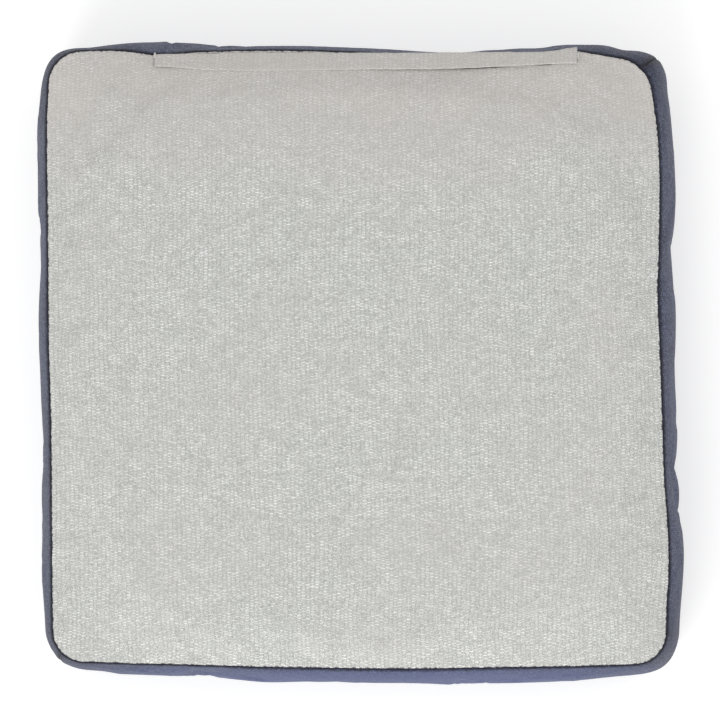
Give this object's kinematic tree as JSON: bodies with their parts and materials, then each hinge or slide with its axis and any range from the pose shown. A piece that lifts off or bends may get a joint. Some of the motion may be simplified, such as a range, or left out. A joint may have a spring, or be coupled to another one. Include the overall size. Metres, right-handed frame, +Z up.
{
  "type": "floor cushion",
  "caption": "Square box floor cushion: off-white canvas back with a zip under a flap, indigo chambray side band, fibre-filled insert.",
  "frame": {"origin": "centre of the footprint, on the floor", "axes": "+Z up, out of the zip side of the cushion; +Y towards the edge with the zip; +X to the right, seen from above with the zip edge far away"},
  "size_m": [0.62, 0.62, 0.15],
  "materials": {
    "offwhite_canvas": "coarse plain-woven cotton, unbleached white",
    "indigo_chambray": "indigo chambray, pale weft flecks",
    "lining": "white non-woven casing",
    "fibre": "polyester fibre",
    "zip_tape": "woven polyester tape",
    "zip_coil": "nylon coil",
    "thread": "sewing thread",
    "nickel": "nickel-plated zinc"
  },
  "bodies": {
    "cover": {"fibre_fill": "fibre", "insert_bottom_panel": "lining", "insert_band": "lining", "insert_top_panel": "lining", "front_panel": "indigo_chambray", "back_panel": "offwhite_canvas", "side_band_near_right": "indigo_chambray", "side_band_far_left": "indigo_chambray", "zip_tape_upper": "zip_tape", "zip_tape_lower": "zip_tape", "zip_coil_upper": "zip_coil", "zip_coil_lower": "zip_coil", "zip_top_stops": "nickel", "zip_bottom_stop": "nickel", "bar_tack_left": "thread", "bar_tack_right": "thread"},
    "flap": {"zip_flap": "offwhite_canvas"},
    "slider": {"zip_slider": "nickel"},
    "pull_tab": {"pull_tab": "nickel"}
  },
  "joints": [
    {"name": "flap_lift", "type": "hinge", "parent": "cover", "child": "flap", "pos_m": [0.007, 0.294, 0.128], "axis": [-1, 0, 0], "range_deg": [0, 120]},
    {"name": "slider_run", "type": "slide", "parent": "cover", "child": "slider", "axis": [1, 0, 0], "range_m": [0, 0.3844]},
    {"name": "tab_swing", "type": "hinge", "parent": "slider", "child": "pull_tab", "pos_m": [-0.1852, 0.28799, 0.12931], "axis": [0, -0.9063, 0.4226], "range_deg": [0, 90]}
  ],
  "couplings": [
    {"joint": "tab_swing", "follows": "flap_lift", "ratio": 0.7}
  ]
}
